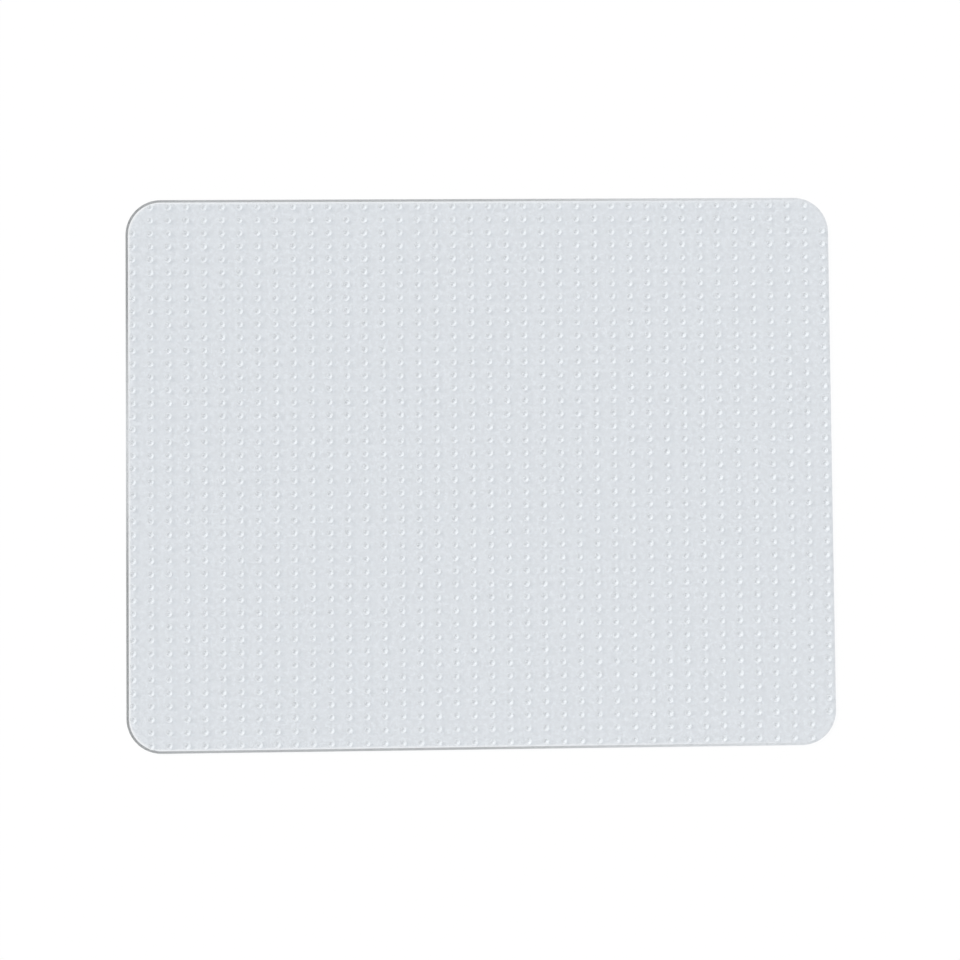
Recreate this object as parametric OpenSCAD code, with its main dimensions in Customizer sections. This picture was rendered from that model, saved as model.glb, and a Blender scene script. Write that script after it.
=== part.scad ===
// Clear vinyl chair mat for carpet: a bevelled wear sheet welded to a studded grip sheet.
// Millimetres, +Z up. The mat stands on its stud tips at z = 0, centred on the origin.

/* [Sheet] */
// Length of the mat along X
mat_length = 1172; // [600:1:1600]
// Width of the mat along Y
mat_width = 914; // [500:1:1300]
// Radius of the four corners, seen from above
corner_radius = 58; // [30:1:150]
// Thickness of the wear sheet, which the chair rolls on
wear_thickness = 1.2; // [0.8:0.1:3]
// Thickness of the grip sheet, which carries the studs
grip_thickness = 0.8; // [0.5:0.1:2]

/* [Edge] */
// How far the bevel reaches in from the edge of the mat
bevel_width = 5; // [1:0.5:20]
// Height of the square lip left on the wear sheet below the bevel
lip_height = 0.3; // [0.1:0.05:0.6]

/* [Studs] */
// Distance between studs along X
stud_pitch_x = 29.5; // [18:0.1:60]
// Distance between studs along Y
stud_pitch_y = 21.7; // [18:0.1:60]
// Least plain border between the edge of the mat and the foot of a stud
stud_border = 3; // [2:0.5:60]
// Length of a stud below the grip sheet
stud_length = 5; // [4:0.1:10]
// Diameter of a stud where its straight flank begins
stud_base_d = 7; // [5:0.1:12]
// Diameter of a stud where its straight flank ends
stud_tip_d = 3; // [2:0.1:4.5]
// Size of the flare that runs a stud into the grip sheet
stud_flare = 2; // [0.5:0.1:2.5]
// Size of the chamfer that blunts the tip of a stud
stud_blunt = 0.5; // [0.2:0.1:0.8]

/* [Hidden] */

// Facets of a full turn in the mesh preview
corner_facets = 96;
stud_facets = 24;

// Heights above the floor
grip_z = stud_length;
wear_z = grip_z + grip_thickness;

// Straight runs between the corner arcs
straight_x = mat_length - 2 * corner_radius;
straight_y = mat_width - 2 * corner_radius;

// Stud lattice: the whole spacings that fit inside the plain border, centred on the mat
stud_foot_r = stud_base_d / 2 + stud_flare;
stud_inset = stud_border + stud_foot_r;
stud_steps_x = floor((mat_length - 2 * stud_inset) / stud_pitch_x);
stud_steps_y = floor((mat_width - 2 * stud_inset) / stud_pitch_y);

vinyl = [0.86, 0.88, 0.90];

// True where a stud's whole foot keeps the plain border, also round the corner arcs
function stud_fits(x, y) =
    let (past_x = abs(x) - straight_x / 2, past_y = abs(y) - straight_y / 2)
    past_x <= 0 || past_y <= 0 || norm([past_x, past_y]) <= corner_radius - stud_inset;

stud_places = [
    for (i = [0 : stud_steps_x], j = [0 : stud_steps_y])
        let (x = (i - stud_steps_x / 2) * stud_pitch_x, y = (j - stud_steps_y / 2) * stud_pitch_y)
        if (stud_fits(x, y)) [x, y]
];

// Plan of the mat, a rectangle with round corners
module mat_plan() {
    square([mat_length, straight_y], center = true);
    square([straight_x, mat_width], center = true);
    for (side_x = [-1, 1], side_y = [-1, 1])
        translate([side_x * straight_x / 2, side_y * straight_y / 2])
            circle(r = corner_radius, $fn = corner_facets);
}

// Section of the wear sheet from a corner's centre out to the edge, with the lip and the bevel
module rim_section() {
    polygon([
        [0, 0],
        [corner_radius, 0],
        [corner_radius, lip_height],
        [corner_radius - bevel_width, wear_thickness],
        [0, wear_thickness]
    ]);
}

// One straight side of the rim along +Y and the corner at its +X end
module rim_side(run, reach) {
    translate([0, reach, 0])
        rotate([90, 0, 90])
            linear_extrude(run, center = true)
                rim_section();
    translate([run / 2, reach, 0])
        rotate_extrude(angle = 90, $fn = corner_facets)
            rim_section();
}

// One stud pointing down from z = stud_length: flare, drafted flank and blunt tip
module stud() {
    rotate_extrude($fn = stud_facets)
        polygon([
            [0, 0],
            [stud_tip_d / 2 - stud_blunt, 0],
            [stud_tip_d / 2, stud_blunt],
            [stud_base_d / 2, stud_length - stud_flare],
            [stud_foot_r, stud_length],
            [0, stud_length]
        ]);
}

// Upper sheet: flat top for the casters, bevelled down all round
module wear_sheet() {
    color(vinyl)
        translate([0, 0, wear_z]) {
            translate([-straight_x / 2, -straight_y / 2, 0])
                cube([straight_x, straight_y, wear_thickness]);
            for (half_turn = [0, 180])
                rotate([0, 0, half_turn]) {
                    rim_side(straight_x, straight_y / 2);
                    rotate([0, 0, 90])
                        rim_side(straight_y, straight_x / 2);
                }
        }
}

// Lower sheet with the studs moulded on its underside
module grip_sheet() {
    color(vinyl)
        union() {
            translate([0, 0, grip_z])
                linear_extrude(grip_thickness)
                    mat_plan();
            for (place = stud_places)
                translate(place)
                    stud();
        }
}

wear_sheet();
grip_sheet();
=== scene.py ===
"""Clear vinyl chair mat: a bevelled wear sheet over a studded grip sheet, lying on a white studio floor.

Metres, +Z up. The mat stands on its stud tips at z = 0, centred on the origin, +X along its length.
"""

import math

import bmesh
import bpy
from bpy.props import FloatProperty, FloatVectorProperty, IntProperty, PointerProperty
from mathutils import Matrix, Vector


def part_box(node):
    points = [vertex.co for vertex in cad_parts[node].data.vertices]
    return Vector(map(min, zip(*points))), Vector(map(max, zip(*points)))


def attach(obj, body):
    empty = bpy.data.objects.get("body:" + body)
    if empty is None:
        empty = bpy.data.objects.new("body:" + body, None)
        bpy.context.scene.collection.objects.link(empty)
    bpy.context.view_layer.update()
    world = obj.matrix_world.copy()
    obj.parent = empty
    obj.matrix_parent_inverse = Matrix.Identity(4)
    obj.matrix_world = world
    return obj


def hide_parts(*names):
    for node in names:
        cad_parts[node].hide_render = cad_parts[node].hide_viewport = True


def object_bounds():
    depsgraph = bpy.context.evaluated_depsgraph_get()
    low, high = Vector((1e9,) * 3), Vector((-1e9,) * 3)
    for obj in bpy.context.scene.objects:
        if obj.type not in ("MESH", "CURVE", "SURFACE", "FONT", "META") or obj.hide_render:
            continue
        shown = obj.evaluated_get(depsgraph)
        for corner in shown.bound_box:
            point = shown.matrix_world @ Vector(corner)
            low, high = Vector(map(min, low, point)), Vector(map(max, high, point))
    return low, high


bl_info = {
    "name": "Clear Vinyl Chair Mat",
    "version": (1, 0, 0),
    "blender": (4, 5, 0),
    "location": "View3D > Sidebar > Chair Mat",
    "description": "Builds a clear studded chair mat and the white studio stage under it",
    "category": "Add Mesh",
}

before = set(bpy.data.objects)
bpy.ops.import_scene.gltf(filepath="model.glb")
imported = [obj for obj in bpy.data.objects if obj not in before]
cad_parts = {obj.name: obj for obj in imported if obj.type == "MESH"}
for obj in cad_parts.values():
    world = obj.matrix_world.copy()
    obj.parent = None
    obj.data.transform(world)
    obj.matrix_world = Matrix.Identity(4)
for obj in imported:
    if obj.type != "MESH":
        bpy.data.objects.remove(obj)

# Places that come from the frame
CAD_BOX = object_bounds()
WEAR_LOW, WEAR_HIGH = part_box("wear_sheet")
MAT_SIZE = WEAR_HIGH - WEAR_LOW
BODY = "root"

MM = 0.001
WHITE = (1.0, 1.0, 1.0)

# How much light bends in the vinyl
VINYL_IOR = 1.5

# Least and most roughness of the satin sheet and of the frosted studs
SHEET_ROUGHNESS = (0.09, 0.13)
STUD_ROUGHNESS = (0.42, 0.58)

# Spots per metre of the patterns on the vinyl
SHEET_ROUGHNESS_SCALE = 90.0
SHEET_GRAIN_SCALE = 900.0
STUD_CLOUD_SCALE = 45.0
STUD_ROUGHNESS_SCALE = 500.0
STUD_GRAIN_SCALE = 2500.0

# How much finer the sheet's second set of clouds is than its first, and how far clouds darken a stud
FINER_CLOUDS = 2.4
STUD_CLOUD_DEPTH = 0.05

# Values between which one noise pattern, and the sum of two, mostly stays
NOISE_SPAN = (0.3, 0.7)
NOISE_SUM_SPAN = (0.7, 1.3)

# Where the painted shade line along the edge and the painted highlight line inside it fade out, in bevel
# widths from the edge
SHADE_LINE_FADE = (0.7, 0.95)
PAINTED_GLINT_FADE = (0.9, 1.8)

# Where the changes in the painted edge shade and highlight end, in half lengths from the centre and in
# widths from its lightest part
LEFT_FADE_END = 0.8
RIGHT_FADE_END = 0.95
CENTRE_FADE_END = 0.25

# Turn between two faces past which the edge between them stays crisp
SHEET_CREASE = math.radians(8)
STUD_CREASE = math.radians(35)

# Share of the flare's last facet by which a stud's foot reaches into the sheet, so that the two join
FOOT_SUNK = 0.2

# Heights closer than this count as the same
SAME_HEIGHT = 0.01 * MM

# Places of the plain number sockets on a Random Value node
RANDOM_LOW = 2
RANDOM_HIGH = 3
RANDOM_VALUE = 1


def length_property(name, description, default):
    """A size in metres, shown with the scene's units."""
    return FloatProperty(
        name=name, description=description, default=default, min=0.0, precision=4, unit="LENGTH"
    )


def colour_property(name, description, default):
    """A colour without alpha."""
    return FloatVectorProperty(
        name=name, description=description, default=default, size=3, min=0.0, max=1.0, subtype="COLOR"
    )


def share_property(name, description, default):
    """A share between none and all."""
    return FloatProperty(
        name=name, description=description, default=default, min=0.0, max=1.0, subtype="FACTOR"
    )


class ChairMatSheet(bpy.types.PropertyGroup):
    """Sizes of the two sheets, which share one outline."""

    length: length_property("Length", "Length of the mat along X", MAT_SIZE.x)
    width: length_property("Width", "Width of the mat along Y", MAT_SIZE.y)
    top: length_property("Top", "Height of the flat top above the floor", WEAR_HIGH.z)
    weld: length_property("Weld", "Height at which the two sheets are welded", WEAR_LOW.z)
    thickness: length_property("Grip Thickness", "Thickness of the grip sheet", 0.8 * MM)
    corner_radius: length_property("Corner Radius", "Radius of the corners, seen from above", 58 * MM)
    bevel_width: length_property("Bevel Width", "How far the bevel reaches in from the edge", 5 * MM)
    lip_height: length_property("Lip Height", "Square lip left below the bevel", 0.3 * MM)
    corner_steps: IntProperty(
        name="Corner Steps", description="Straight steps round one corner", default=24, min=4, max=96
    )


class ChairMatStuds(bpy.types.PropertyGroup):
    """Sizes of the gripping studs and of their rows."""

    pitch_x: length_property("Pitch X", "Distance between studs along X", 29.5 * MM)
    pitch_y: length_property("Pitch Y", "Distance between studs along Y", 21.7 * MM)
    border: length_property("Border", "Plain border between the edge and the foot of a stud", 3 * MM)
    base_diameter: length_property("Base Diameter", "Diameter where the straight flank begins", 7 * MM)
    tip_diameter: length_property("Tip Diameter", "Diameter where the straight flank ends", 3 * MM)
    flare: length_property("Flare", "Size of the flare that runs a stud into the sheet", 2 * MM)
    blunt: length_property("Blunt", "Chamfer that blunts the tip", 0.5 * MM)
    sides: IntProperty(name="Sides", description="Facets round one stud", default=11, min=6, max=24)
    uneven: share_property("Uneven", "How far the moulded studs differ in width", 0.05)
    seed: IntProperty(name="Seed", description="Draw of the small differences", default=7, min=0)


class ChairMatVinyl(bpy.types.PropertyGroup):
    """Colours and finish of the vinyl, with the shade and highlight painted along its edge."""

    sheet_tint: colour_property("Sheet Tint", "Cool grey of the clear sheet", (0.738, 0.7665, 0.7985))
    lamp_tint: colour_property(
        "Lamp Tint", "What a sheet leaves of light passing it", (0.985, 0.988, 0.992)
    )
    cloud_scale: FloatProperty(
        name="Cloud Scale", description="Clouds per metre in the clear sheet", default=145.0, min=1.0
    )
    cloud_depth: share_property("Cloud Depth", "How far clouds lighten and darken the sheet", 0.06)
    stud_tint: colour_property("Stud Tint", "Frosted white of the studs", (0.976, 0.99, 1.0))
    stud_lamp_tint: colour_property(
        "Stud Lamp Tint", "What a stud's wall leaves of light passing it", (0.838, 0.856, 0.868)
    )
    stud_clarity: share_property("Stud Clarity", "How much of a stud is clear and not frosted", 0.05)
    stud_glow: share_property("Stud Glow", "How much light shines through a stud's frosted wall", 0.5)
    # Painted shade: a dark line in the bevel that stands in for the shade the clear edge shows in light
    edge_tint: colour_property("Edge Tint", "Dark grey of the line along the edge", (0.215, 0.226, 0.23))
    # Painted highlight: a pale line inside the bevel that stands in for light bent in by the clear edge
    glint_tint: colour_property("Glint Tint", "Pale line along the bevel's inside", (0.94, 0.95, 0.965))
    # Spread of the painted edge shade and highlight: strongest at the left end, towards the key light,
    # and lighter around one place along the short ends, where a painted reflection lightens them
    edge_left: share_property("Edge At Left", "Strength of the dark edge at the left end", 0.84)
    edge_middle: share_property("Edge At Middle", "Strength of the dark edge halfway along", 0.64)
    edge_right: share_property("Edge At Right", "Strength of the dark edge at the right end", 0.08)
    edge_centre: share_property("Edge At Centre", "Share of it left in its lightest part", 0.35)
    edge_lightest: length_property("Lightest Edge At", "Where along Y that lightest part lies", 55 * MM)


class ChairMatStage(bpy.types.PropertyGroup):
    """Floor, light and camera."""

    floor_size: length_property("Floor Size", "Side of the square floor", 60.0)
    floor_drop: length_property("Floor Drop", "Gap that keeps the stud tips off the floor", 0.2 * MM)
    floor_tint: colour_property("Floor Tint", "White of the floor", (0.98, 0.98, 0.98))
    sky: FloatProperty(name="Sky", description="Strength of the even light all round", default=0.4)
    sun: FloatProperty(name="Sun", description="Strength of the soft key light", default=3.05)
    sun_angle: FloatProperty(
        name="Sun Angle", description="Softness of the key", default=math.radians(25), subtype="ANGLE"
    )
    sun_from: FloatVectorProperty(
        name="Sun From", description="Direction of the key", default=(-1.25, 0.65, 1.18), subtype="XYZ"
    )
    lens: FloatProperty(name="Lens", description="Focal length", default=50.0, unit="CAMERA")
    camera_place: FloatVectorProperty(
        name="Camera Place", description="Where the camera is",
        default=(-0.0562, -0.0743, 2.2169), subtype="TRANSLATION", unit="LENGTH",
    )
    camera_aim: FloatVectorProperty(
        name="Camera Aim", description="What the camera looks at",
        default=(-0.0022, -0.0122, 0.006), subtype="TRANSLATION", unit="LENGTH",
    )
    camera_roll: FloatProperty(
        name="Camera Roll", description="Turn about the view",
        default=math.radians(0.542), subtype="ANGLE",
    )


def half_straight(sheet):
    """Half of the straight runs between the corner arcs."""
    return Vector((sheet.length / 2 - sheet.corner_radius, sheet.width / 2 - sheet.corner_radius, 0.0))


def underside(sheet):
    """Height of the grip sheet's plain underside, which is also how long a stud is."""
    return sheet.weld - sheet.thickness


def feed(tree, socket, value):
    """Link a socket to another one, or give it a plain value."""
    if isinstance(value, bpy.types.NodeSocket):
        tree.links.new(value, socket)
    else:
        socket.default_value = value


def add(tree, kind, inputs=None, **settings):
    """Add a node, set its options and feed its inputs."""
    node = tree.nodes.new(kind)
    for option, value in settings.items():
        setattr(node, option, value)
    for key, value in (inputs or {}).items():
        feed(tree, node.inputs[key], value)
    return node


def number(tree, operation, first, second=0.0):
    """Output of a Math node."""
    return add(tree, "ShaderNodeMath", {0: first, 1: second}, operation=operation).outputs["Value"]


def vector(tree, operation, first, second=(0.0, 0.0, 0.0)):
    """Vector output of a Vector Math node."""
    return add(tree, "ShaderNodeVectorMath", {0: first, 1: second}, operation=operation).outputs["Vector"]


def edge_distance(tree, position, straight, radius):
    """How far in from the mat's outline a point lies, near the edge and the round corners."""
    past = vector(tree, "SUBTRACT", vector(tree, "ABSOLUTE", position), straight)
    outward = vector(tree, "MAXIMUM", vector(tree, "MULTIPLY", past, (1.0, 1.0, 0.0)))
    reach = add(tree, "ShaderNodeVectorMath", {0: outward}, operation="LENGTH").outputs["Value"]
    return number(tree, "SUBTRACT", radius, reach)


def spread(tree, value, low, high, start=0.0, end=1.0, smooth=False):
    """Output of a Map Range node."""
    ramp = {"Value": value, "From Min": low, "From Max": high, "To Min": start, "To Max": end}
    kind = "SMOOTHSTEP" if smooth else "LINEAR"
    return add(tree, "ShaderNodeMapRange", ramp, interpolation_type=kind).outputs["Result"]


def noise(tree, position, scale):
    """Value output of a Noise Texture on Object coordinates."""
    return add(tree, "ShaderNodeTexNoise", {"Vector": position, "Scale": scale}).outputs["Fac"]


def grain(tree, position, scale, strength, depth):
    """Normal output of a fine moulded grain."""
    inputs = {"Height": noise(tree, position, scale), "Strength": strength, "Distance": depth}
    return add(tree, "ShaderNodeBump", inputs).outputs["Normal"]


def blend_colour(tree, factor, first, second):
    """Output of a colour Mix node."""
    node = add(tree, "ShaderNodeMix", data_type="RGBA")
    feed(tree, node.inputs["Factor"], factor)
    colours = [socket for socket in node.inputs if socket.type == "RGBA"]
    feed(tree, colours[0], first)
    feed(tree, colours[1], second)
    return next(socket for socket in node.outputs if socket.type == "RGBA")


def opaque(colour, factor=1.0):
    """Four numbers for a colour socket, with the colour scaled."""
    return (*(channel * factor for channel in colour), 1.0)


def new_material(name):
    """An empty node material and its output."""
    material = bpy.data.materials.new(name)
    material.use_nodes = True
    material.node_tree.nodes.clear()
    return material, add(material.node_tree, "ShaderNodeOutputMaterial")


def let_light_through(tree, shader, tint):
    """Bend what the camera sees, but let lamp and bounced light pass straight through the clear vinyl."""
    rays = add(tree, "ShaderNodeLightPath").outputs
    for ray in ("Is Shadow Ray", "Is Diffuse Ray"):
        passing = add(tree, "ShaderNodeBsdfTransparent", {"Color": opaque(tint)}).outputs["BSDF"]
        shader = add(
            tree, "ShaderNodeMixShader", {0: rays[ray], 1: shader, 2: passing}
        ).outputs["Shader"]
    return shader


def cloudy_tint(tree, position, vinyl):
    """The sheet's cool grey, a little lighter and darker in small clouds."""
    clouds = noise(tree, position, vinyl.cloud_scale)
    finer = noise(tree, position, vinyl.cloud_scale * FINER_CLOUDS)
    cloud = spread(tree, number(tree, "ADD", clouds, finer), *NOISE_SUM_SPAN, smooth=True)
    dark = opaque(vinyl.sheet_tint, 1.0 - vinyl.cloud_depth)
    light = opaque(vinyl.sheet_tint, 1.0 + vinyl.cloud_depth)
    return blend_colour(tree, cloud, dark, light)


def edge_strength(tree, position, sheet, vinyl):
    """How strong the painted shade and highlight lines along the edge are: most at the left end, least at
    the right one.
    """
    place = add(tree, "ShaderNodeSeparateXYZ", {0: position}).outputs
    end = sheet.length / 2
    from_left = spread(tree, place["X"], -end, -LEFT_FADE_END * end, vinyl.edge_left, vinyl.edge_middle)
    right_share = vinyl.edge_right / vinyl.edge_middle
    to_right = spread(tree, place["X"], 0.0, RIGHT_FADE_END * end, 1.0, right_share)
    side = number(tree, "ABSOLUTE", number(tree, "SUBTRACT", place["Y"], vinyl.edge_lightest))
    from_centre = spread(tree, side, 0.0, CENTRE_FADE_END * sheet.width, vinyl.edge_centre, 1.0)
    return number(tree, "MULTIPLY", number(tree, "MULTIPLY", from_left, to_right), from_centre)


def edged_tint(tree, position, tint, sheet, vinyl):
    """That tint with a painted shade line in the mat's bevel and a painted highlight line inside it."""
    strength = edge_strength(tree, position, sheet, vinyl)
    distance = edge_distance(tree, position, half_straight(sheet), sheet.corner_radius)
    bevels = number(tree, "DIVIDE", distance, sheet.bevel_width)
    for fade, painted_line_tint in ((PAINTED_GLINT_FADE, vinyl.glint_tint), (SHADE_LINE_FADE, vinyl.edge_tint)):
        line = spread(tree, bevels, *fade, 1.0, 0.0, smooth=True)
        tint = blend_colour(tree, number(tree, "MULTIPLY", line, strength), tint, opaque(painted_line_tint))
    return tint


def clear_sheet_vinyl(sheet, vinyl):
    """Clear sheet with a cloudy cool tint, painted shade and highlight along its edge, a satin finish and
    a fine grain.
    """
    material, output = new_material("clear_sheet_vinyl")
    tree = material.node_tree
    position = add(tree, "ShaderNodeTexCoord").outputs["Object"]
    colour = edged_tint(tree, position, cloudy_tint(tree, position, vinyl), sheet, vinyl)
    satin = spread(tree, noise(tree, position, SHEET_ROUGHNESS_SCALE), *NOISE_SPAN, *SHEET_ROUGHNESS)
    shader = add(tree, "ShaderNodeBsdfPrincipled", {
        "Base Color": colour,
        "Roughness": satin,
        "IOR": VINYL_IOR,
        "Transmission Weight": 1.0,
        "Normal": grain(tree, position, SHEET_GRAIN_SCALE, strength=0.06, depth=0.05 * MM),
    })
    clear = let_light_through(tree, shader.outputs["BSDF"], vinyl.lamp_tint)
    feed(tree, output.inputs["Surface"], clear)
    return material


def frosted_stud_vinyl(vinyl):
    """Stud walls: the same vinyl with a fine mould grain, which catches the light."""
    material, output = new_material("frosted_stud_vinyl")
    tree = material.node_tree
    position = add(tree, "ShaderNodeTexCoord").outputs["Object"]
    cloud = spread(tree, noise(tree, position, STUD_CLOUD_SCALE), *NOISE_SPAN)
    dark = opaque(vinyl.stud_tint, 1.0 - STUD_CLOUD_DEPTH)
    colour = blend_colour(tree, cloud, dark, opaque(vinyl.stud_tint))
    satin = spread(tree, noise(tree, position, STUD_ROUGHNESS_SCALE), *NOISE_SPAN, *STUD_ROUGHNESS)
    mould = grain(tree, position, STUD_GRAIN_SCALE, strength=0.1, depth=0.03 * MM)
    shader = add(tree, "ShaderNodeBsdfPrincipled", {
        "Base Color": colour,
        "Roughness": satin,
        "IOR": VINYL_IOR,
        "Transmission Weight": vinyl.stud_clarity,
        "Normal": mould,
    })
    glow = add(tree, "ShaderNodeBsdfTranslucent", {"Color": colour, "Normal": mould})
    frosted = add(tree, "ShaderNodeMixShader", {
        0: vinyl.stud_glow, 1: shader.outputs["BSDF"], 2: glow.outputs["BSDF"],
    })
    clear = let_light_through(tree, frosted.outputs["Shader"], vinyl.stud_lamp_tint)
    feed(tree, output.inputs["Surface"], clear)
    return material


def welded_faces():
    """Faces where the sheets are welded into one body, which don't show in clear vinyl."""
    material, output = new_material("welded_faces")
    tree = material.node_tree
    feed(tree, output.inputs["Surface"], add(tree, "ShaderNodeBsdfTransparent").outputs["BSDF"])
    return material


def made_once(make, *values):
    """The material named like the function that makes it, made the first time it is asked for."""
    return bpy.data.materials.get(make.__name__) or make(*values)


def outline(sheet, inset, height):
    """Points of the mat's outline, moved in by inset, anticlockwise at one height."""
    centre = half_straight(sheet)
    radius = sheet.corner_radius - inset
    points = []
    for quarter, (side_x, side_y) in enumerate(((1, 1), (-1, 1), (-1, -1), (1, -1))):
        for step in range(sheet.corner_steps + 1):
            angle = (quarter + step / sheet.corner_steps) * math.pi / 2
            x = side_x * centre.x + radius * math.cos(angle)
            y = side_y * centre.y + radius * math.sin(angle)
            points.append(Vector((x, y, height)))
    return points


def sheet_mesh(name, sheet, section, sides, bottom, top):
    """A closed sheet through outlines from the bottom up, with a material for each of its faces."""
    mesh = bpy.data.meshes.new(name)
    materials = list(dict.fromkeys((sides, bottom, top)))
    for material in materials:
        mesh.materials.append(material)
    shape = bmesh.new()
    rings = [[shape.verts.new(point) for point in outline(sheet, inset, z)] for inset, z in section]
    shape.faces.new(reversed(rings[0])).material_index = materials.index(bottom)
    for lower, upper in zip(rings, rings[1:]):
        for here in range(len(lower)):
            after = (here + 1) % len(lower)
            face = shape.faces.new((lower[here], lower[after], upper[after], upper[here]))
            face.material_index = materials.index(sides)
    shape.faces.new(rings[-1]).material_index = materials.index(top)
    for face in shape.faces:
        face.smooth = True
    shape.to_mesh(mesh)
    shape.free()
    return mesh


def sharpen_between_materials(mesh):
    """Keep a crisp edge where one finish meets another, so that flat faces stay flat."""
    shape = bmesh.new()
    shape.from_mesh(mesh)
    for edge in shape.edges:
        if len({face.material_index for face in edge.link_faces}) > 1:
            edge.smooth = False
    shape.to_mesh(mesh)
    shape.free()


def place_piece(name, mesh, node, sharp_angle):
    """Show a finished mesh in place of its CAD node."""
    mesh.set_sharp_from_angle(angle=sharp_angle)
    sharpen_between_materials(mesh)
    piece = bpy.data.objects.new(name, mesh)
    bpy.context.scene.collection.objects.link(piece)
    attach(piece, BODY)
    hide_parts(node)


class CHAIRMAT_OT_wear_sheet(bpy.types.Operator):
    """Add the clear top sheet with its bevelled rim"""

    bl_idname = "chair_mat.wear_sheet"
    bl_label = "Add Wear Sheet"

    def execute(self, context):
        sheet = context.scene.chair_mat_sheet
        vinyl = context.scene.chair_mat_vinyl
        section = (
            (0.0, sheet.weld),
            (0.0, sheet.weld + sheet.lip_height),
            (sheet.bevel_width, sheet.top),
        )
        clear = made_once(clear_sheet_vinyl, sheet, vinyl)
        welded = made_once(welded_faces)
        mesh = sheet_mesh("wear_sheet_clear", sheet, section, sides=clear, bottom=welded, top=clear)
        place_piece("wear_sheet_clear", mesh, "wear_sheet", SHEET_CREASE)
        return {"FINISHED"}


def stud_rings(studs, length):
    """Radius and height of a stud's rings, from the blunt tip up its flank and flare into the sheet."""
    tip = studs.tip_diameter / 2
    base = studs.base_diameter / 2
    foot = base + studs.flare
    bend = studs.flare * (1 - math.cos(math.pi / 4))
    bend_radius = base + bend
    bend_height = length - bend
    return (
        (tip - studs.blunt, 0.0),
        (tip, studs.blunt),
        (base, length - studs.flare),
        (bend_radius, bend_height),
        (foot + FOOT_SUNK * (foot - bend_radius), length + FOOT_SUNK * (length - bend_height)),
    )


def rows_that_fit(size, inset, pitch):
    """How many studs fit in a row inside the plain border."""
    return math.floor((size - 2 * inset) / pitch) + 1


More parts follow.
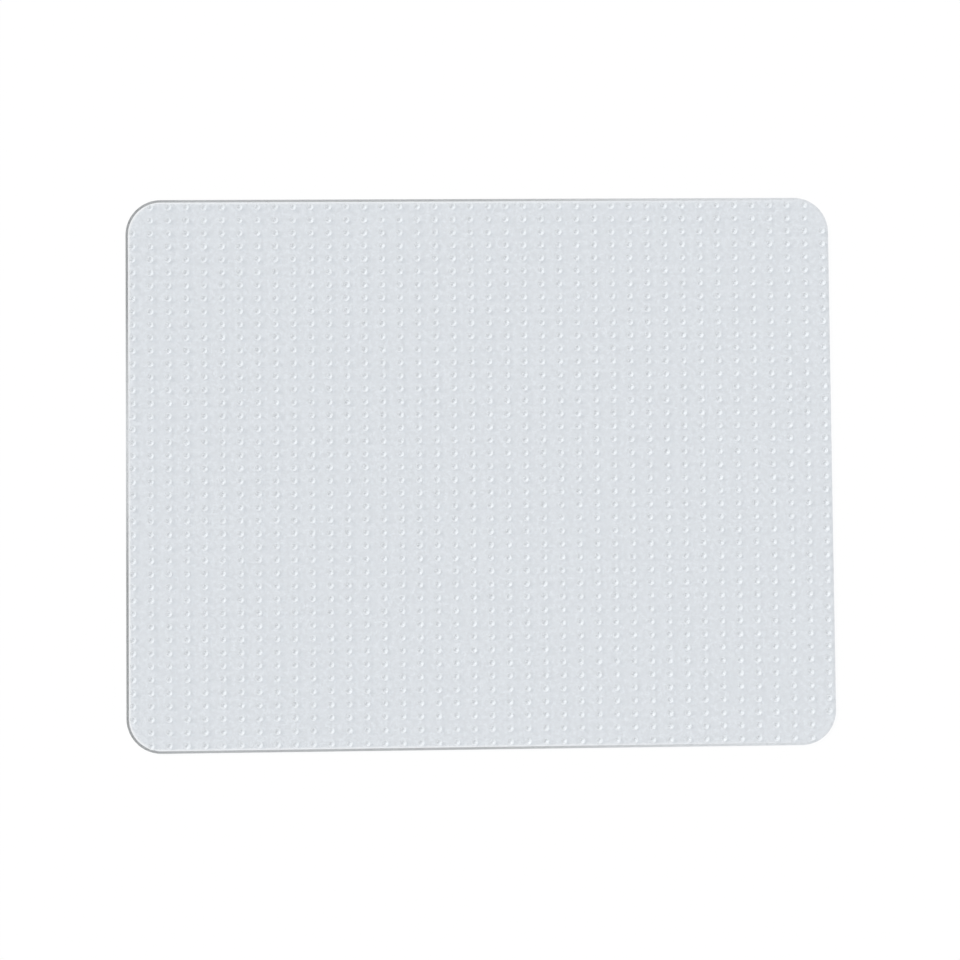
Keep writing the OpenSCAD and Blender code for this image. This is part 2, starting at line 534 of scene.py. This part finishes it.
class StudTree:
    """Geometry nodes that mould rows of studs on the underside of a sheet."""

    def __init__(self):
        self.tree = bpy.data.node_groups.new("Studs On Sheet", "GeometryNodeTree")
        self.tree.interface.new_socket("Sheet", in_out="INPUT", socket_type="NodeSocketGeometry")
        self.tree.interface.new_socket("Studded Sheet", in_out="OUTPUT", socket_type="NodeSocketGeometry")
        self.inputs = self.tree.nodes.new("NodeGroupInput").outputs
        self.values = {}

    def new_input(self, name, kind, value):
        """Add a named input, keep the value that the modifier gives it, and return its socket."""
        socket = self.tree.interface.new_socket(name, in_out="INPUT", socket_type=kind)
        self.values[socket.identifier] = value
        return self.inputs[name]

    def size(self, name, value):
        """An input for a size or a share."""
        return self.new_input(name, "NodeSocketFloat", value)

    def count(self, name, value):
        """An input for a whole number."""
        return self.new_input(name, "NodeSocketInt", value)

    def material(self, name, value):
        """An input for a material."""
        return self.new_input(name, "NodeSocketMaterial", value)

    def lattice(self, sheet, studs, inset):
        """Corners of an even grid, centred on the mat."""
        tree = self.tree
        columns = self.count("Columns", rows_that_fit(sheet.length, inset, studs.pitch_x))
        rows = self.count("Rows", rows_that_fit(sheet.width, inset, studs.pitch_y))
        pitch_x = self.size("Pitch X", studs.pitch_x)
        pitch_y = self.size("Pitch Y", studs.pitch_y)
        size_x = number(tree, "MULTIPLY", number(tree, "SUBTRACT", columns, 1.0), pitch_x)
        size_y = number(tree, "MULTIPLY", number(tree, "SUBTRACT", rows, 1.0), pitch_y)
        sizes = {"Size X": size_x, "Size Y": size_y, "Vertices X": columns, "Vertices Y": rows}
        return add(tree, "GeometryNodeMeshGrid", sizes).outputs["Mesh"]

    def inside_border(self, sheet, inset):
        """True where a stud's foot keeps the plain border, also round the corners."""
        tree = self.tree
        straight = half_straight(sheet)
        straight_x = self.size("Half Straight X", straight.x)
        straight_y = self.size("Half Straight Y", straight.y)
        corner = self.size("Corner Radius", sheet.corner_radius)
        border = self.size("Stud Inset", inset)
        straight_run = add(tree, "ShaderNodeCombineXYZ", {"X": straight_x, "Y": straight_y}).outputs[0]
        position = add(tree, "GeometryNodeInputPosition").outputs[0]
        distance = edge_distance(tree, position, straight_run, corner)
        return number(tree, "GREATER_THAN", distance, border)

    def ring_sizes(self, rings):
        """A radius and a height for each ring of the stud's profile."""
        names = ("Tip", "Flank End", "Flank Start", "Flare", "Foot")
        return [
            (self.size(f"{name} Radius", radius), self.size(f"{name} Height", height))
            for name, (radius, height) in zip(names, rings)
        ]

    def one_stud(self, rings, sides):
        """A drum with a ring of corners for each place on the stud's profile, moved there."""
        tree = self.tree
        bands = len(rings) - 1
        drum = add(tree, "GeometryNodeMeshCylinder", {
            "Vertices": sides, "Side Segments": bands, "Radius": 1.0, "Depth": float(bands),
        })
        position = add(tree, "GeometryNodeInputPosition").outputs[0]
        place = add(tree, "ShaderNodeSeparateXYZ", {0: position}).outputs
        ring = number(tree, "ROUND", number(tree, "ADD", place["Z"], bands / 2))
        radius = add(tree, "GeometryNodeIndexSwitch", {"Index": ring}, data_type="FLOAT")
        height = add(tree, "GeometryNodeIndexSwitch", {"Index": ring}, data_type="FLOAT")
        for switch in (radius, height):
            while len(switch.index_switch_items) < len(rings):
                switch.index_switch_items.new()
        for index, (ring_radius, ring_height) in enumerate(rings):
            feed(tree, radius.inputs[str(index)], ring_radius)
            feed(tree, height.inputs[str(index)], ring_height)
        moved = add(tree, "ShaderNodeCombineXYZ", {
            "X": number(tree, "MULTIPLY", place["X"], radius.outputs[0]),
            "Y": number(tree, "MULTIPLY", place["Y"], radius.outputs[0]),
            "Z": height.outputs[0],
        }).outputs[0]
        shaped = {"Geometry": drum.outputs["Mesh"], "Position": moved}
        return add(tree, "GeometryNodeSetPosition", shaped).outputs[0]

    def random_number(self, low, high, seed):
        """A number between two values, drawn for each stud."""
        inputs = {RANDOM_LOW: low, RANDOM_HIGH: high, "Seed": seed}
        node = add(self.tree, "FunctionNodeRandomValue", inputs, data_type="FLOAT")
        return node.outputs[RANDOM_VALUE]

    def random_turn_and_width(self, studs, sides):
        """A turn of up to one facet and a small change of width for each stud."""
        tree = self.tree
        uneven = self.size("Uneven", studs.uneven)
        seed = self.count("Seed", studs.seed)
        turn = self.random_number(0.0, number(tree, "DIVIDE", 2 * math.pi, sides), seed)
        rotation = add(tree, "ShaderNodeCombineXYZ", {"Z": turn}).outputs[0]
        narrow = number(tree, "SUBTRACT", 1.0, uneven)
        wide = number(tree, "ADD", 1.0, uneven)
        width = self.random_number(narrow, wide, number(tree, "ADD", seed, 1.0))
        scale = add(tree, "ShaderNodeCombineXYZ", {"X": width, "Y": width, "Z": 1.0}).outputs[0]
        return rotation, scale

    def join(self, field):
        """The sheet and all its studs as one closed body."""
        union = add(self.tree, "GeometryNodeMeshBoolean", operation="UNION", solver="MANIFOLD")
        self.tree.links.new(self.inputs["Sheet"], union.inputs["Mesh 2"])
        self.tree.links.new(field, union.inputs["Mesh 2"])
        return union.outputs["Mesh"]

    def paint(self, mesh, sheet, materials):
        """Give the sheet, the studs below it and the welded top their materials."""
        tree = self.tree
        weld = self.size("Weld Height", sheet.weld)
        under = self.size("Underside Height", underside(sheet))
        centre = add(tree, "GeometryNodeInputPosition").outputs[0]
        height = add(tree, "ShaderNodeSeparateXYZ", {0: centre}).outputs["Z"]
        below = number(tree, "LESS_THAN", height, number(tree, "SUBTRACT", under, SAME_HEIGHT))
        above = number(tree, "GREATER_THAN", height, number(tree, "SUBTRACT", weld, SAME_HEIGHT))
        mesh = add(tree, "GeometryNodeRealizeInstances", {"Geometry": mesh}).outputs[0]
        names = ("Sheet Vinyl", "Stud Vinyl", "Welded Faces")
        for name, material, faces in zip(names, materials, (True, below, above)):
            painted = {"Geometry": mesh, "Selection": faces, "Material": self.material(name, material)}
            mesh = add(tree, "GeometryNodeSetMaterial", painted).outputs[0]
        return mesh


def stud_tree(sheet, studs, materials):
    """Build the tree for these sizes and return it with its modifier's values."""
    made = StudTree()
    tree = made.tree
    inset = studs.border + studs.base_diameter / 2 + studs.flare
    places = made.lattice(sheet, studs, inset)
    inside = made.inside_border(sheet, inset)
    sides = made.count("Stud Sides", studs.sides)
    rings = made.ring_sizes(stud_rings(studs, underside(sheet)))
    rotation, scale = made.random_turn_and_width(studs, sides)
    field = add(tree, "GeometryNodeInstanceOnPoints", {
        "Points": places,
        "Selection": inside,
        "Instance": made.one_stud(rings, sides),
        "Rotation": rotation,
        "Scale": scale,
    }).outputs[0]
    field = add(tree, "GeometryNodeRealizeInstances", {"Geometry": field}).outputs[0]
    studded = made.paint(made.join(field), sheet, materials)
    feed(tree, tree.nodes.new("NodeGroupOutput").inputs[0], studded)
    return tree, made.values


def studded_mesh(context, plain, tree, values):
    """The plain sheet with the tree's studs on it, as a mesh with no modifier left."""
    carrier = bpy.data.objects.new("grip_sheet_plain", plain)
    context.scene.collection.objects.link(carrier)
    modifier = carrier.modifiers.new("Studs", "NODES")
    modifier.node_group = tree
    for identifier, value in values.items():
        modifier[identifier] = value
    shown = carrier.evaluated_get(context.evaluated_depsgraph_get())
    mesh = bpy.data.meshes.new_from_object(shown)
    mesh.name = "grip_sheet_studded"
    carrier.modifiers.remove(modifier)
    bpy.data.objects.remove(carrier)
    bpy.data.meshes.remove(plain)
    if len(mesh.polygons) == 0:
        raise RuntimeError("the studs could not be joined to the grip sheet")
    mesh.polygons.foreach_set("use_smooth", [True] * len(mesh.polygons))
    return mesh


class CHAIRMAT_OT_grip_sheet(bpy.types.Operator):
    """Add the lower sheet with the rows of studs moulded on its underside"""

    bl_idname = "chair_mat.grip_sheet"
    bl_label = "Add Grip Sheet"

    def execute(self, context):
        scene = context.scene
        sheet = scene.chair_mat_sheet
        vinyl = scene.chair_mat_vinyl
        clear = made_once(clear_sheet_vinyl, sheet, vinyl)
        frosted = made_once(frosted_stud_vinyl, vinyl)
        welded = made_once(welded_faces)
        section = ((0.0, underside(sheet)), (0.0, sheet.weld))
        plain = sheet_mesh("grip_sheet_plain", sheet, section, sides=clear, bottom=clear, top=clear)
        tree, values = stud_tree(sheet, scene.chair_mat_studs, (clear, frosted, welded))
        mesh = studded_mesh(context, plain, tree, values)
        place_piece("grip_sheet_studded", mesh, "grip_sheet", STUD_CREASE)
        return {"FINISHED"}


def floor_paint(stage):
    """Plain matt white."""
    material, output = new_material("white_floor")
    tree = material.node_tree
    matt = add(tree, "ShaderNodeBsdfDiffuse", {"Color": opaque(stage.floor_tint)})
    feed(tree, output.inputs["Surface"], matt.outputs["BSDF"])
    return material


def white_floor(stage):
    """A large white floor just under the stud tips."""
    mesh = bpy.data.meshes.new("studio_floor")
    reach = stage.floor_size / 2
    height = CAD_BOX[0][2] - stage.floor_drop
    sides = ((-1, -1), (1, -1), (1, 1), (-1, 1))
    corners = [(side_x * reach, side_y * reach, height) for side_x, side_y in sides]
    mesh.from_pydata(corners, [], [range(len(corners))])
    mesh.materials.append(floor_paint(stage))
    floor = bpy.data.objects.new("studio_floor", mesh)
    bpy.context.scene.collection.objects.link(floor)


def even_sky(scene, stage):
    """Even white light, seen as plain white by the camera and in gloss and clear vinyl."""
    scene.world = bpy.data.worlds.new("studio_sky")
    scene.world.use_nodes = True
    tree = scene.world.node_tree
    tree.nodes.clear()
    rays = add(tree, "ShaderNodeLightPath").outputs
    shown = number(tree, "MAXIMUM", rays["Is Camera Ray"], rays["Is Glossy Ray"])
    shown = number(tree, "MAXIMUM", shown, rays["Is Transmission Ray"])
    strength = spread(tree, shown, 0.0, 1.0, stage.sky, 1.0)
    sky = add(tree, "ShaderNodeBackground", {"Color": opaque(WHITE), "Strength": strength})
    feed(tree, add(tree, "ShaderNodeOutputWorld").inputs["Surface"], sky.outputs["Background"])


def soft_key(scene, stage):
    """One broad soft light from the left, which brightens the far wall of each stud."""
    lamp = bpy.data.lights.new("soft_key", "SUN")
    lamp.energy = stage.sun
    lamp.angle = stage.sun_angle
    key = bpy.data.objects.new("soft_key", lamp)
    key.rotation_euler = Vector(stage.sun_from).to_track_quat("Z", "Y").to_euler()
    # Without these two, its mirror image would burn out the sheet when seen from the far side
    key.visible_glossy = False
    key.visible_transmission = False
    scene.collection.objects.link(key)


def overhead_camera(scene, stage):
    """The photograph's view, almost straight down."""
    lens = bpy.data.cameras.new("overhead_camera")
    lens.lens = stage.lens
    camera = bpy.data.objects.new("overhead_camera", lens)
    place = Vector(stage.camera_place)
    ahead = (Vector(stage.camera_aim) - place).normalized()
    upward = Vector((math.sin(stage.camera_roll), math.cos(stage.camera_roll), 0.0))
    right = ahead.cross(upward).normalized()
    turn = Matrix((right, right.cross(ahead), -ahead)).transposed()
    camera.matrix_world = Matrix.Translation(place) @ turn.to_4x4()
    scene.collection.objects.link(camera)
    scene.camera = camera


class CHAIRMAT_OT_stage(bpy.types.Operator):
    """Add the white floor, the light and the overhead camera"""

    bl_idname = "chair_mat.stage"
    bl_label = "Add Stage"

    def execute(self, context):
        scene = context.scene
        stage = scene.chair_mat_stage
        white_floor(stage)
        even_sky(scene, stage)
        soft_key(scene, stage)
        overhead_camera(scene, stage)
        scene.view_settings.view_transform = "Standard"
        return {"FINISHED"}


class CHAIRMAT_PT_sidebar(bpy.types.Panel):
    """Sizes, colours and build buttons of the chair mat"""

    bl_idname = "CHAIRMAT_PT_sidebar"
    bl_label = "Chair Mat"
    bl_space_type = "VIEW_3D"
    bl_region_type = "UI"
    bl_category = "Chair Mat"

    def draw(self, context):
        for operator in OPERATORS:
            self.layout.operator(operator.bl_idname)
        for name, group in GROUPS.items():
            column = self.layout.column(align=True)
            column.label(text=group.__doc__)
            settings = getattr(context.scene, name)
            for key in group.__annotations__:
                column.prop(settings, key)


GROUPS = {
    "chair_mat_sheet": ChairMatSheet,
    "chair_mat_studs": ChairMatStuds,
    "chair_mat_vinyl": ChairMatVinyl,
    "chair_mat_stage": ChairMatStage,
}
OPERATORS = (CHAIRMAT_OT_wear_sheet, CHAIRMAT_OT_grip_sheet, CHAIRMAT_OT_stage)


def register():
    for name, group in GROUPS.items():
        bpy.utils.register_class(group)
        setattr(bpy.types.Scene, name, PointerProperty(type=group))
    for operator in OPERATORS:
        bpy.utils.register_class(operator)
    bpy.utils.register_class(CHAIRMAT_PT_sidebar)


def unregister():
    bpy.utils.unregister_class(CHAIRMAT_PT_sidebar)
    for operator in reversed(OPERATORS):
        bpy.utils.unregister_class(operator)
    for name, group in reversed(GROUPS.items()):
        delattr(bpy.types.Scene, name)
        bpy.utils.unregister_class(group)


def main():
    """Build the stage and the mat."""
    register()
    bpy.ops.chair_mat.stage()
    bpy.ops.chair_mat.wear_sheet()
    bpy.ops.chair_mat.grip_sheet()


if __name__ == "__main__":
    main()
